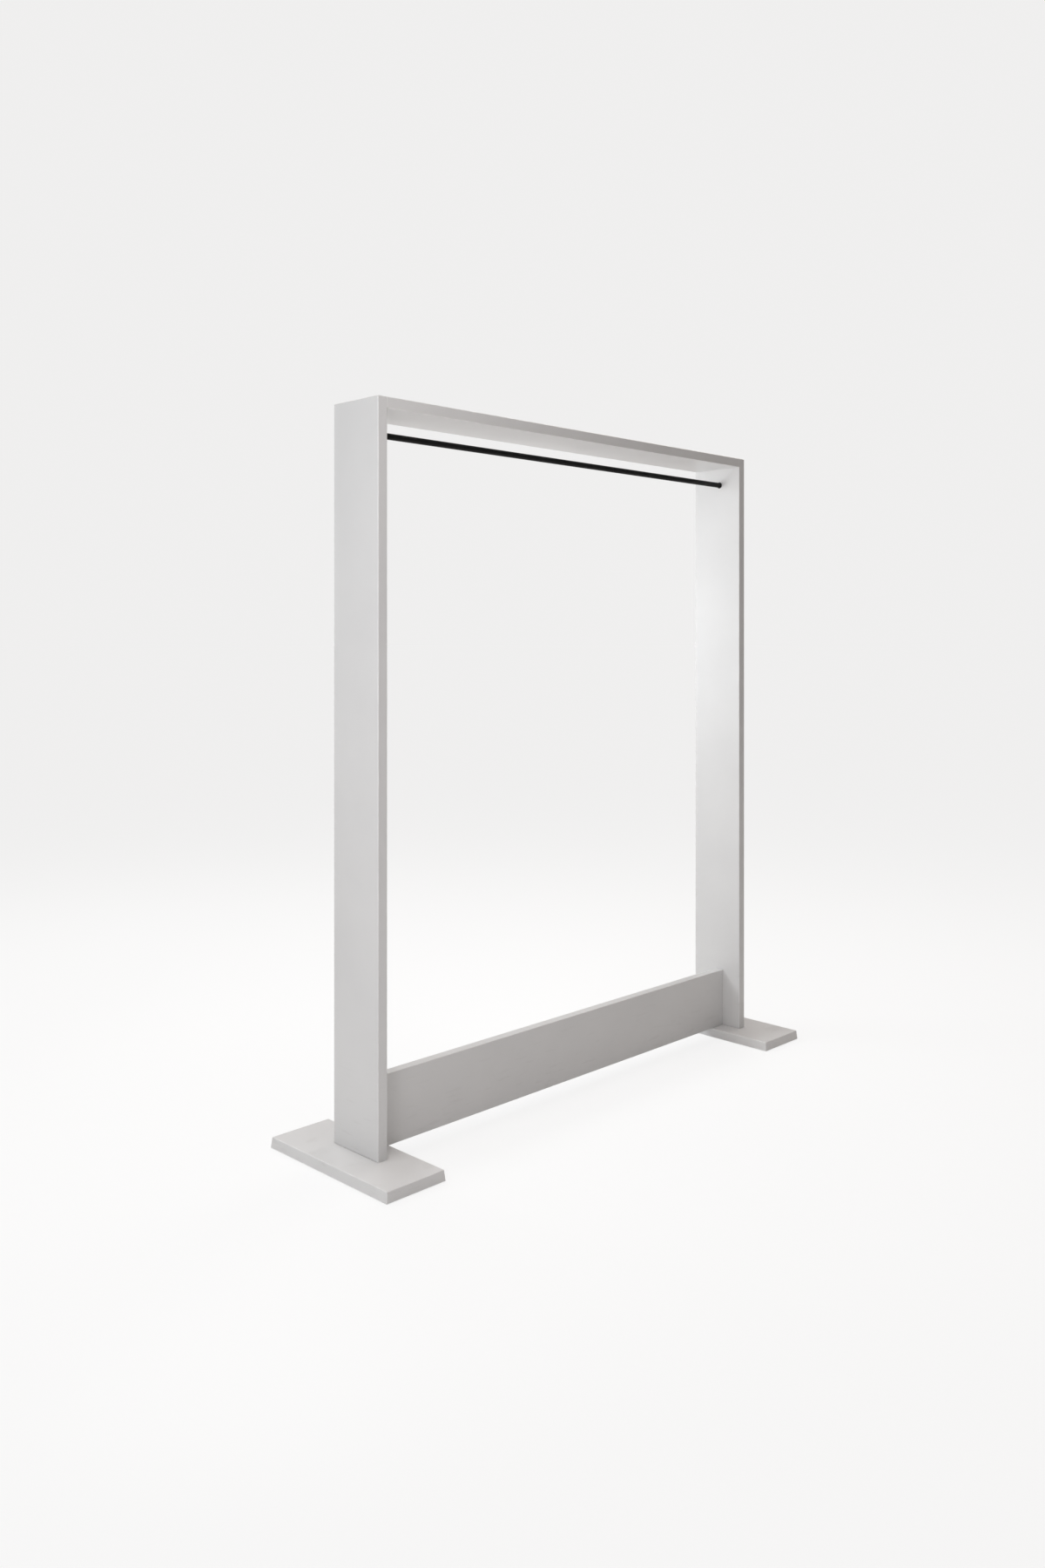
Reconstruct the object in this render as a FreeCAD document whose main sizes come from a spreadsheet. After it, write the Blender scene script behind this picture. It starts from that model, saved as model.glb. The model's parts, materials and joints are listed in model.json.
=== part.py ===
import FreeCAD, Part
import os
import re
import Sketcher
from FreeCAD import Placement, Rotation, Vector

# A free-standing gate-shaped display frame: two upright boards and a header make the gate, a lower
# rail ties the uprights together, each upright stands on its own foot plate, and a hanging rod
# turns freely in two cups sunk into the uprights.  Knock-down fittings hold the boards together.
#
# Frame of the part: X runs along the width, Y from the front to the back, Z up.  The origin lies on
# the floor, midway between the uprights and midway between the front and the back.

# Driving sizes in millimetres: name, value, meaning.
SIZES = [
    # The gate
    ("overall_height", 2000, "floor to the top of the header"),
    ("frame_width", 1600, "between the outer faces of the uprights"),
    ("board_depth", 190, "front edge to back edge of the uprights and the header"),
    ("board_thickness", 30, "thickness of the uprights, the header and the lower rail"),
    ("outer_edge_radius", 3, "rounding of the edges on the outside of the gate"),
    ("inner_edge_radius", 1.5, "rounding of the edges on the inside of the gate"),
    # The line of the rail and the rod
    ("hanging_line_setback", 85, "front edge of the boards to the middle of the rail and the rod"),
    ("rail_height", 192, "height of the lower rail"),
    ("rod_drop", 86, "top of the header to the middle of the rod"),
    ("rod_diameter", 17.2, "outside of the hanging tube"),
    ("rod_wall", 2, "wall of the hanging tube"),
    # The cups that carry the rod
    ("socket_depth", 14, "inside depth of a cup"),
    ("socket_wall", 2, "wall of a cup"),
    ("socket_floor", 2, "floor of a cup"),
    ("rod_clearance", 0.1, "between the rod and its cup, on the radius"),
    ("rod_end_play", 0.5, "between the end of the rod and the floor of its cup"),
    ("socket_screw_radius", 1.7, "shank of the screw that holds a cup"),
    ("socket_screw_head", 3.4, "radius of its countersunk head"),
    ("socket_screw_cover", 4, "wood left between its tip and the outer face"),
    # The foot plates
    ("foot_length", 500, "front to back, at the underside"),
    ("foot_width", 190, "across, at the underside"),
    ("foot_thickness", 28, "thickness of a foot plate"),
    ("foot_slope", 3, "how far each side leans in on its way up"),
    ("foot_edge_radius", 2, "rounding of the top and the corners of a foot plate"),
    ("pad_thickness", 2, "thickness of a glide pad"),
    ("pad_radius", 15, "radius of a glide pad"),
    ("pad_inset", 28, "sides of the foot plate to the middle of a pad"),
    # Dowels
    ("dowel_radius", 4, "radius of every dowel"),
    ("dowel_chamfer", 1, "chamfer at the ends of a dowel"),
    ("dowel_in_upright", 15, "length of a cross-board dowel inside the upright"),
    ("dowel_in_board", 20, "length of a cross-board dowel inside the header or the rail"),
    ("dowel_inset", 63, "long edge of a board to the middle of a dowel"),
    ("dowel_in_foot", 16, "length of a foot dowel inside the foot plate"),
    ("dowel_in_end", 24, "length of a foot dowel inside the end of the upright"),
    ("bore_relief", 1, "empty length at the bottom of a blind bore"),
    ("fit_gap", 0.1, "between a fitting and its bore, on the radius"),
    # Cam fittings
    ("cam_radius", 7.5, "radius of a cam"),
    ("cam_setback", 34, "end of a board to the middle of its cams"),
    ("cam_inset", 31, "long edge of a board to the middle of a cam"),
    ("cam_below_bolt", 5, "underside of a cam to the middle of its bolt"),
    ("cam_hollow_radius", 5.5, "radius of the hollow that holds the bolt's head"),
    ("cam_hollow_height", 8, "height of that hollow"),
    ("cam_mouth_width", 6, "width of the slot that the bolt's neck enters by"),
    ("cam_drive_width", 1.4, "width of the screwdriver slot"),
    ("cam_drive_depth", 2, "depth of the screwdriver slot"),
    ("cam_drive_length", 9, "length of the screwdriver slot"),
    ("cap_thickness", 2, "thickness of the cap that covers a cam"),
    ("cam_thread_radius", 3, "thread of a cam bolt"),
    ("cam_thread_length", 12, "length of that thread, inside the upright"),
    ("cam_neck_radius", 2.5, "neck of a cam bolt"),
    ("cam_head_radius", 3.5, "head of a cam bolt"),
    ("cam_head_length", 3, "length of that head"),
    # Foot bolts
    ("foot_bolt_inset", 30, "front or back edge of an upright to the middle of the outer bolts"),
    ("foot_bolt_radius", 4, "thread of a foot bolt"),
    ("foot_bolt_reach", 22, "how far a foot bolt goes into its threaded sleeve"),
    ("foot_bolt_head_radius", 6.5, "head of a foot bolt"),
    ("foot_bolt_head_height", 8, "height of that head"),
    ("foot_bolt_key", 3.4, "corner radius of its hexagon socket"),
    ("foot_bolt_key_depth", 4, "depth of its hexagon socket"),
    ("foot_bolt_hole_radius", 4.5, "clearance hole through the foot plate"),
    ("washer_radius", 8, "outside of a washer"),
    ("washer_thickness", 1.6, "thickness of a washer"),
    ("counterbore_radius", 9, "counterbore for the head and the washer"),
    ("counterbore_recess", 2.4, "underside of the foot plate to the head"),
    ("sleeve_radius", 6, "outside of a threaded sleeve"),
    ("sleeve_length", 25, "length of a threaded sleeve"),
    ("sleeve_relief", 5, "empty length above a sleeve"),
]

# Sizes that follow from the driving ones.
DERIVED = {
    "foot_top": "pad_thickness + foot_thickness",
    "upright_length": "overall_height - foot_top",
    "inner_half_width": "frame_width / 2 - board_thickness",
    "board_half_depth": "board_depth / 2",
    "half_thickness": "board_thickness / 2",
    "hanging_line": "hanging_line_setback - board_half_depth",
    "rod_level": "overall_height - rod_drop",
    "rail_level": "foot_top + rail_height / 2",
    "header_level": "overall_height - half_thickness",
    "rod_radius": "rod_diameter / 2",
    "socket_bore_radius": "rod_radius + rod_clearance",
    "socket_outer_radius": "socket_bore_radius + socket_wall",
    "socket_length": "socket_depth + socket_floor",
    "socket_screw_length": "board_thickness - socket_depth - socket_screw_cover",
    "counterbore_depth": "foot_bolt_head_height + washer_thickness + counterbore_recess",
    "cam_top": "half_thickness - cap_thickness",
}

doc = FreeCAD.newDocument("display_frame")
sheet = doc.addObject("Spreadsheet::Sheet", "Sizes")
for row, (alias, amount, meaning) in enumerate(SIZES, start=1):
    sheet.set(f"A{row}", meaning)
    sheet.set(f"B{row}", str(amount))
    sheet.setAlias(f"B{row}", alias)
doc.recompute()

DRIVING_NAMES = {alias for alias, amount, meaning in SIZES}
LEFT, RIGHT = -1, 1
SIDES = {"left": LEFT, "right": RIGHT}
STRAIGHT = Rotation()
HALF_TURN = Rotation(Vector(0, 0, 1), 180)
ON_EDGE = Rotation(Vector(1, 0, 0), -90)    # stands a flat board up with its top face to the back
UPWARDS = Rotation(Vector(0, 1, 0), -90)    # makes a piece that points along X point up
parts = []


# --- Formulas, sketches and features ---------------------------------------------------------

def bound(formula):
    """Write a formula in plain size names as an expression that reads the sheet."""
    def spell(match):
        word = match.group(0)
        if word in DERIVED:
            return "(" + bound(DERIVED[word]) + ")"
        return "Sizes." + word if word in DRIVING_NAMES else word
    return re.sub(r"[a-z_]+", spell, formula)


def value(formula):
    """What a formula comes to now, in millimetres."""
    return float(sheet.evalExpression(bound(formula)))


def bind(thing, **formulas):
    """Bind properties of an object to formulas; a double underscore stands for a dot."""
    for name, formula in formulas.items():
        thing.setExpression(name.replace("__", "."), bound(formula))


def place(thing, x="0", y="0", z="0", turn=STRAIGHT):
    """Stand an object at a point given by formulas, turned about its own origin."""
    thing.Placement = Placement(Vector(), turn)
    bind(thing, Placement__Base__x=x, Placement__Base__y=y, Placement__Base__z=z)


def subpart(thing, label):
    """Count an object as one of the part's nodes."""
    thing.Label = label
    parts.append(thing)
    return thing


def new_body(label):
    return subpart(doc.addObject("PartDesign::Body", label), label)


def origin_plane(body, role):
    return next(item for item in body.Origin.OriginFeatures if item.Role == role)


def new_sketch(body, name, role, offset):
    """A sketch parallel to one of the body's origin planes."""
    sketch = body.newObject("Sketcher::SketchObject", f"{body.Label}_{name}_sketch")
    sketch.AttachmentSupport = [(origin_plane(body, role), "")]
    sketch.MapMode = "FlatFace"
    bind(sketch, AttachmentOffset__Base__z=offset)
    return sketch


def pin_point(sketch, item, point, across, up, name):
    """Hold one point of a sketch at a place given by formulas."""
    for kind, formula in (("DistanceX", across), ("DistanceY", up)):
        number = sketch.addConstraint(Sketcher.Constraint(kind, -1, 1, item, point, value(formula)))
        sketch.renameConstraint(number, f"{name}_{kind}")
        bind(sketch, **{f"Constraints__{name}_{kind}": formula})


def outline(body, name, role, corners, offset="0"):
    """A closed outline of straight lines whose corners are formulas."""
    sketch = new_sketch(body, name, role, offset)
    points = [Vector(value(across), value(up), 0) for across, up in corners]
    count = len(points)
    for number in range(count):
        sketch.addGeometry(Part.LineSegment(points[number], points[(number + 1) % count]))
    for number in range(count):
        sketch.addConstraint(Sketcher.Constraint("Coincident", number, 2, (number + 1) % count, 1))
    for number, (across, up) in enumerate(corners):
        pin_point(sketch, number, 1, across, up, f"corner{number}")
    return sketch


def circles(body, name, role, centres, radius, offset="0"):
    """Circles of one radius whose centres are formulas."""
    sketch = new_sketch(body, name, role, offset)
    for number, (across, up) in enumerate(centres):
        centre = Vector(value(across), value(up), 0)
        sketch.addGeometry(Part.Circle(centre, Vector(0, 0, 1), value(radius)))
        pin_point(sketch, number, 3, across, up, f"centre{number}")
        size = sketch.addConstraint(Sketcher.Constraint("Radius", number, value(radius)))
        sketch.renameConstraint(size, f"radius{number}")
        bind(sketch, **{f"Constraints__radius{number}": radius})
    return sketch


def pad(body, sketch, length, side_type="One side", flip=False):
    feature = body.newObject("PartDesign::Pad", sketch.Name.replace("sketch", "pad"))
    feature.Profile = sketch
    feature.SideType = side_type
    feature.Reversed = flip
    bind(feature, Length=length)
    doc.recompute()
    return feature


def pocket(body, sketch, length, flip=False):
    """Cut a sketch into the body, and make sure that it takes material away."""
    before = body.Shape.Volume
    feature = body.newObject("PartDesign::Pocket", sketch.Name.replace("sketch", "pocket"))
    feature.Profile = sketch
    feature.Reversed = flip
    bind(feature, Length=length)
    doc.recompute()
    if body.Shape.Volume >= before:
        raise RuntimeError(f"{feature.Name} cuts nothing")
    return feature


def mirror(body, features, role):
    """Repeat features on the other side of one of the body's origin planes."""
    feature = body.newObject("PartDesign::Mirrored", f"{body.Label}_{role}_mirror")
    feature.Originals = features
    feature.MirrorPlane = (origin_plane(body, role), [""])
    body.Tip = feature
    doc.recompute()
    return feature


def round_edges(body, name, radius, *tests):
    """Round the edges whose two ends both pass one of the tests."""
    edges = [f"Edge{number}" for number, edge in enumerate(body.Shape.Edges, start=1)
             if any(all(test(vertex.Point) for vertex in edge.Vertexes) for test in tests)]
    base = body.Tip
    feature = body.newObject("PartDesign::Fillet", f"{body.Label}_{name}")
    feature.Base = (base, edges)
    bind(feature, Radius=radius)
    doc.recompute()
    return feature


def turned(body, corners):
    """A turned piece: the corners of its outline are places along X and radii."""
    sketch = outline(body, "profile", "XZ_Plane", corners)
    feature = body.newObject("PartDesign::Revolution", f"{body.Label}_turned")
    feature.Profile = sketch
    feature.ReferenceAxis = (sketch, ["H_Axis"])
    feature.Angle = 360
    doc.recompute()
    return body


def primitive(kind, name, **formulas):
    """A Part primitive with its sizes bound to the sheet."""
    thing = doc.addObject(f"Part::{kind}", name)
    bind(thing, **formulas)
    return thing


def boolean(kind, name, base, tool):
    """A Part boolean, Cut or Fuse, of two objects."""
    thing = doc.addObject(f"Part::{kind}", name)
    thing.Base = base
    thing.Tool = tool
    return thing


def group(label, master, spots):
    """Copies of one small piece as the separate solids of one node."""
    copies = []
    for number, (x, y, z, turn) in enumerate(spots):
        copy = doc.addObject("App::Link", f"{label}_{number}")
        copy.LinkedObject = master
        place(copy, x, y, z, turn)
        copies.append(copy)
    compound = doc.addObject("Part::Compound", label)
    compound.Links = copies
    return subpart(compound, label)


def near(first, second):
    return abs(first - second) < 1e-6


# --- The boards -------------------------------------------------------------------------------

# Where the fittings lie across a board, from its middle, for each of the two cross boards.
HEADER_CAMS = "board_depth / 2 - cam_inset"
HEADER_DOWELS = "board_depth / 2 - dowel_inset"
RAIL_CAMS = "rail_height / 2 - cam_inset"
RAIL_DOWELS = "rail_height / 2 - dowel_inset"
# The same for the end of an upright on its foot plate, along Y.
END_BOLTS = ["foot_bolt_inset - board_half_depth", "0", "board_half_depth - foot_bolt_inset"]
END_DOWELS = ["dowel_inset - board_half_depth", "board_half_depth - dowel_inset"]


def both_ways(formula):
    return [formula, f"-({formula})"]


def cross_board(label, width, cams, dowels):
    """A board between the uprights: length along X, width along Y, mid-plane at Z = 0."""
    body = new_body(label)
    corners = [(f"-({width}) / 2", "-half_thickness"), (f"({width}) / 2", "-half_thickness"),
               (f"({width}) / 2", "half_thickness"), (f"-({width}) / 2", "half_thickness")]
    pad(body, outline(body, "section", "YZ_Plane", corners), "2 * inner_half_width", "Symmetric")

    cam_spots = [("inner_half_width - cam_setback", y) for y in both_ways(cams)]
    cam_bores = circles(body, "cam_bores", "XY_Plane", cam_spots, "cam_radius + fit_gap",
                        offset="half_thickness")
    bolt_bores = circles(body, "bolt_bores", "YZ_Plane", [(y, "0") for y in both_ways(cams)],
                         "cam_head_radius + fit_gap", offset="inner_half_width")
    dowel_bores = circles(body, "dowel_bores", "YZ_Plane", [(y, "0") for y in both_ways(dowels)],
                          "dowel_radius + fit_gap", offset="inner_half_width")
    cuts = [pocket(body, cam_bores, "half_thickness + cam_below_bolt"),
            pocket(body, bolt_bores, "cam_setback"),
            pocket(body, dowel_bores, "dowel_in_board + bore_relief")]
    mirror(body, cuts, "YZ_Plane")
    return body


def header():
    body = cross_board("header_board", "board_depth", HEADER_CAMS, HEADER_DOWELS)
    top = value("half_thickness")
    half_depth = value("board_half_depth")
    round_edges(body, "top_edges", "outer_edge_radius",
                lambda point: near(point.z, top) and near(abs(point.y), half_depth))
    round_edges(body, "lower_edges", "inner_edge_radius",
                lambda point: near(point.z, -top) and near(abs(point.y), half_depth))
    place(body, z="header_level")


def lower_rail():
    """The rail stands on edge, with its cams in its back face."""
    body = cross_board("lower_rail", "rail_height", RAIL_CAMS, RAIL_DOWELS)
    half = value("half_thickness")
    half_height = value("rail_height / 2")
    round_edges(body, "long_edges", "inner_edge_radius",
                lambda point: near(abs(point.z), half) and near(abs(point.y), half_height))
    place(body, y="hanging_line", z="rail_level", turn=ON_EDGE)


def upright(label, side):
    """An upright on its foot plate: inner face at X = 0, bottom end at Z = 0."""
    body = new_body(label)
    corners = [("-board_half_depth", "0"), ("board_half_depth", "0"),
               ("board_half_depth", "upright_length"), ("-board_half_depth", "upright_length")]
    outwards = side == RIGHT
    pad(body, outline(body, "face", "YZ_Plane", corners), "board_thickness", flip=not outwards)

    half_depth = value("board_half_depth")
    length = value("upright_length")
    outer = side * value("board_thickness")

    round_edges(body, "outer_edges", "outer_edge_radius",
                lambda point: near(point.x, outer) and near(abs(point.y), half_depth),
                lambda point: near(point.x, outer) and near(point.z, length),
                lambda point: near(point.y, half_depth) and near(point.z, length),
                lambda point: near(point.y, -half_depth) and near(point.z, length))
    round_edges(body, "inner_edges", "inner_edge_radius",
                lambda point: near(point.x, 0) and near(abs(point.y), half_depth))

    header_middle = "upright_length - half_thickness"
    rail_spots = {gap: [("hanging_line", f"rail_height / 2 + {up}") for up in both_ways(gap)]
                  for gap in (RAIL_CAMS, RAIL_DOWELS)}
    cam_spots = [(y, header_middle) for y in both_ways(HEADER_CAMS)] + rail_spots[RAIL_CAMS]
    dowel_spots = [(y, header_middle) for y in both_ways(HEADER_DOWELS)] + rail_spots[RAIL_DOWELS]
    rod_spot = [("hanging_line", "rod_level - foot_top")]
    side_bores = [
        ("cam_bolt_bores", cam_spots, "cam_thread_radius + fit_gap", "cam_thread_length + bore_relief"),
        ("dowel_bores", dowel_spots, "dowel_radius + fit_gap", "dowel_in_upright + bore_relief"),
        ("socket_bore", rod_spot, "socket_outer_radius + fit_gap", "socket_length"),
        ("screw_bore", rod_spot, "socket_screw_radius + fit_gap", "socket_depth + socket_screw_length"),
    ]
    for name, spots, radius, depth in side_bores:
        pocket(body, circles(body, name, "YZ_Plane", spots, radius), depth, flip=outwards)

    middle = "half_thickness" if outwards else "-half_thickness"
    end_bores = [
        ("sleeve_bores", END_BOLTS, "sleeve_radius + fit_gap", "sleeve_length + sleeve_relief"),
        ("end_dowel_bores", END_DOWELS, "dowel_radius + fit_gap", "dowel_in_end + bore_relief"),
    ]
    for name, spots, radius, depth in end_bores:
        bores = circles(body, name, "XY_Plane", [(middle, y) for y in spots], radius)
        pocket(body, bores, depth, flip=True)
    place(body, x="inner_half_width" if outwards else "-inner_half_width", z="foot_top")


def foot_plate(label, side):
    """A plate centred on its upright's outer face, with sides that lean in: underside at Z = 0."""
    body = new_body(label)
    corners = [("-foot_width / 2", "-foot_length / 2"), ("foot_width / 2", "-foot_length / 2"),
               ("foot_width / 2", "foot_length / 2"), ("-foot_width / 2", "foot_length / 2")]
    plate = pad(body, outline(body, "underside", "XY_Plane", corners), "foot_thickness")
    bind(plate, TaperAngle="-atan(foot_slope / foot_thickness)")
    doc.recompute()
    top = value("foot_thickness")
    round_edges(body, "edges", "foot_edge_radius", lambda point: near(point.z, top),
                *[corner_test(x, y) for x in (LEFT, RIGHT) for y in (LEFT, RIGHT)])

    bolt_spots = [(upright_middle(side), y) for y in END_BOLTS]
    dowel_spots = [(upright_middle(side), y) for y in END_DOWELS]
    pocket(body, circles(body, "bolt_holes", "XY_Plane", bolt_spots, "foot_bolt_hole_radius"),
           "foot_thickness", flip=True)
    pocket(body, circles(body, "counterbores", "XY_Plane", bolt_spots, "counterbore_radius"),
           "counterbore_depth", flip=True)
    pocket(body, circles(body, "dowel_bores", "XY_Plane", dowel_spots, "dowel_radius + fit_gap",
                         offset="foot_thickness"), "dowel_in_foot + bore_relief")
    place(body, x=foot_middle(side), z="pad_thickness")


def corner_test(x_sign, y_sign):
    """A test for points in one quarter of the plan."""
    return lambda point: point.x * x_sign > 0 and point.y * y_sign > 0


def upright_middle(side):
    """Middle of an upright's thickness, seen from the middle of its foot plate, along X."""
    return "half_thickness" if side == LEFT else "-half_thickness"


def foot_middle(side):
    """Middle of a foot plate in the part's frame, along X."""
    return "-frame_width / 2" if side == LEFT else "frame_width / 2"


# --- The hanging rod and its cups ---------------------------------------------------------------

def hanging_rod():
    body = new_body("hanging_rod")
    length = "2 * (inner_half_width + socket_depth - rod_end_play)"
    spot = [("0", "0")]
    pad(body, circles(body, "outside", "YZ_Plane", spot, "rod_radius"), length, "Symmetric")
    end = "inner_half_width + socket_depth - rod_end_play"
    inside = circles(body, "inside", "YZ_Plane", spot, "rod_radius - rod_wall", offset=end)
    pocket(body, inside, length)
    place(body, y="hanging_line", z="rod_level")


def rod_socket(label, side):
    """A cup whose mouth is flush with the upright's inner face."""
    def out(distance):
        return distance if side == RIGHT else f"-({distance})"
    screw_hole = "socket_screw_radius + fit_gap"
    body = turned(new_body(label), [
        ("0", "socket_bore_radius"),
        ("0", "socket_outer_radius"),
        (out("socket_length"), "socket_outer_radius"),
        (out("socket_length"), screw_hole),
        (out("socket_depth"), "socket_screw_head + fit_gap"),
        (out("socket_depth"), "socket_bore_radius"),
    ])
    x = "inner_half_width" if side == RIGHT else "-inner_half_width"
    place(body, x=x, y="hanging_line", z="rod_level")


def socket_screws():
    """Countersunk screws from inside the cups: head at X = 0, tip towards +X."""
    taper_start = "socket_screw_length - 2 * socket_screw_radius"
    screw = turned(doc.addObject("PartDesign::Body", "socket_screw"), [
        ("0", "0"), ("0", "socket_screw_head"), ("socket_floor", "socket_screw_radius"),
        (taper_start, "socket_screw_radius"), ("socket_screw_length", "0"),
    ])
    seat = "inner_half_width + socket_depth"
    group("rod_socket_screws", screw, [
        (f"-({seat})", "hanging_line", "rod_level", HALF_TURN),
        (seat, "hanging_line", "rod_level", STRAIGHT),
    ])


# --- Knock-down fittings of a cross board --------------------------------------------------------


def dowel(name, low, high):
    """A round dowel along X with chamfered ends, from -low to +high."""
    thin = "dowel_radius - dowel_chamfer"
    return turned(doc.addObject("PartDesign::Body", name), [
        (f"-({low})", "0"), (f"-({low})", thin), (f"dowel_chamfer - ({low})", "dowel_radius"),
        (f"({high}) - dowel_chamfer", "dowel_radius"), (high, thin), (high, "0"),
    ])


def cam_bolt():
    """Screwed into the upright on the -X side of X = 0; its head reaches into the cam."""
    head_end = "cam_setback - cam_neck_radius / 2"
    head_start = f"{head_end} - cam_head_length"
    return turned(doc.addObject("PartDesign::Body", "cam_bolt"), [
        ("-cam_thread_length", "0"), ("-cam_thread_length", "cam_thread_radius"),
        ("0", "cam_thread_radius"), ("0", "cam_neck_radius"),
        (head_start, "cam_neck_radius"), (head_start, "cam_head_radius"),
        (head_end, "cam_head_radius"), (head_end, "0"),
    ])


def cam():
    """A drum about Z with its bolt's axis at Z = 0 and its mouth towards -X."""
    drum = primitive("Cylinder", "cam_drum", Radius="cam_radius", Height="cam_below_bolt + cam_top")
    place(drum, z="-cam_below_bolt")
    hollow = primitive("Cylinder", "cam_hollow", Radius="cam_hollow_radius", Height="cam_hollow_height")
    place(hollow, z="-cam_hollow_height / 2")
    mouth = primitive("Box", "cam_mouth", Length="2 * cam_radius", Width="cam_mouth_width",
                      Height="cam_hollow_height")
    place(mouth, x="-2 * cam_radius", y="-cam_mouth_width / 2", z="-cam_hollow_height / 2")
    drive = primitive("Box", "cam_drive", Length="cam_drive_length", Width="cam_drive_width",
                      Height="cam_drive_depth")
    place(drive, x="-cam_drive_length / 2", y="-cam_drive_width / 2", z="cam_top - cam_drive_depth")
    hollowed = boolean("Cut", "cam_with_hollow", drum, hollow)
    opened = boolean("Cut", "cam_with_mouth", hollowed, mouth)
    return boolean("Cut", "cam", opened, drive)


def end_fittings(prefix, cams, dowels, masters, y, z, turn):
    """The fittings at both ends of one cross board, laid out flat and then turned with the board."""
    dowel_piece, bolt_piece, cam_piece, cap_piece = masters
    ends = [("-inner_half_width", "-inner_half_width + cam_setback", STRAIGHT),
            ("inner_half_width", "inner_half_width - cam_setback", HALF_TURN)]
    nodes = [
        group(f"{prefix}_dowels", dowel_piece,
              [(end, at, "0", way) for end, inside, way in ends for at in both_ways(dowels)]),
        group(f"{prefix}_cam_bolts", bolt_piece,
              [(end, at, "0", way) for end, inside, way in ends for at in both_ways(cams)]),
        group(f"{prefix}_cams", cam_piece,
              [(inside, at, "0", way) for end, inside, way in ends for at in both_ways(cams)]),
        group(f"{prefix}_cam_caps", cap_piece,
              [(inside, at, "cam_top", way) for end, inside, way in ends for at in both_ways(cams)]),
    ]
    for node in nodes:
        place(node, y=y, z=z, turn=turn)


# --- Fittings between the uprights and their foot plates ------------------------------------------

def foot_bolt():
    """A socket-head bolt along Z: the head's upper side at Z = 0, the thread above it."""
    head = primitive("Cylinder", "bolt_head", Radius="foot_bolt_head_radius",
                     Height="foot_bolt_head_height")
    place(head, z="-foot_bolt_head_height")
    shank = primitive("Cylinder", "bolt_shank", Radius="foot_bolt_radius",
                      Height="washer_thickness + foot_thickness - counterbore_depth + foot_bolt_reach")
    key = primitive("Prism", "bolt_key", Circumradius="foot_bolt_key", Height="foot_bolt_key_depth")
    key.Polygon = 6
    place(key, z="-foot_bolt_head_height")
    blank = boolean("Fuse", "bolt_blank", head, shank)
    return boolean("Cut", "foot_bolt", blank, key)


def ring(name, outside, inside, height):
    outer = primitive("Cylinder", f"{name}_outside", Radius=outside, Height=height)
    inner = primitive("Cylinder", f"{name}_inside", Radius=inside, Height=height)
    return boolean("Cut", name, outer, inner)


def foot_fittings():
    upright_x = {LEFT: "half_thickness - frame_width / 2", RIGHT: "frame_width / 2 - half_thickness"}
    seat = "pad_thickness + counterbore_depth"

    def at_bolts(z):
        return [(x, y, z, STRAIGHT) for x in upright_x.values() for y in END_BOLTS]

    washer = ring("washer", "washer_radius", "foot_bolt_radius + fit_gap", "washer_thickness")
    sleeve = ring("sleeve", "sleeve_radius", "foot_bolt_radius + fit_gap", "sleeve_length")
    group("foot_bolts", foot_bolt(), at_bolts(f"{seat} - washer_thickness"))
    group("foot_bolt_washers", washer, at_bolts(f"{seat} - washer_thickness"))
    group("foot_bolt_sleeves", sleeve, at_bolts("foot_top"))
    foot_dowel = dowel("foot_dowel", "dowel_in_foot", "dowel_in_end")
    group("foot_dowels", foot_dowel,
          [(x, y, "foot_top", UPWARDS) for x in upright_x.values() for y in END_DOWELS])


def glide_pads(pad_piece):
    """Four pads under each foot plate."""
    along = both_ways("foot_length / 2 - pad_inset")
    for name, side in SIDES.items():
        across = [f"{foot_middle(side)} + {x}" for x in both_ways("foot_width / 2 - pad_inset")]
        group(f"glide_pads_{name}", pad_piece,
              [(x, y, "0", STRAIGHT) for x in across for y in along])


# --- The whole frame ------------------------------------------------------------------------------

header()
lower_rail()
hanging_rod()
for side_name, side_sign in SIDES.items():
    upright(f"upright_{side_name}", side_sign)
    foot_plate(f"foot_plate_{side_name}", side_sign)
    rod_socket(f"rod_socket_{side_name}", side_sign)
socket_screws()

board_fittings = (dowel("board_dowel", "dowel_in_upright", "dowel_in_board"), cam_bolt(), cam(),
                  primitive("Cylinder", "cam_cap", Radius="cam_radius", Height="cap_thickness"))
end_fittings("header", HEADER_CAMS, HEADER_DOWELS, board_fittings, "0", "header_level", STRAIGHT)
end_fittings("rail", RAIL_CAMS, RAIL_DOWELS, board_fittings, "hanging_line", "rail_level", ON_EDGE)
foot_fittings()
glide_pads(primitive("Cylinder", "glide_pad", Radius="pad_radius", Height="pad_thickness"))
doc.recompute()

# --- Checks and files -----------------------------------------------------------------------------

for item in doc.Objects:
    if {"Invalid", "Error"} & set(item.State):
        raise RuntimeError(f"{item.Label} failed: {item.State}")
for item in parts:
    if item.Shape.isNull() or not item.Shape.isValid():
        raise RuntimeError(f"{item.Label} has no valid shape")

os.makedirs("parts", exist_ok=True)
for item in parts:
    item.Shape.exportStep(f"parts/{item.Label}.step")
    print(f"{item.Label:22s} {len(item.Shape.Solids)} solids, {item.Shape.Volume / 1000:.1f} cm3")
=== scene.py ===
"""Looks of a free-standing white display frame with a black hanging rod.

The lacquered boards, the foot plates and the cams are the frame's own nodes with worked finishes.
The rod, its cups, the screws, dowels, bolts, washers, sleeves, cam covers and glide pads are turned
here in finer detail than their plain solids.  Everything is in metres, in the frame's own axes.
"""

import json
import math

import bmesh
import bpy
from mathutils import Matrix, Vector


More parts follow.
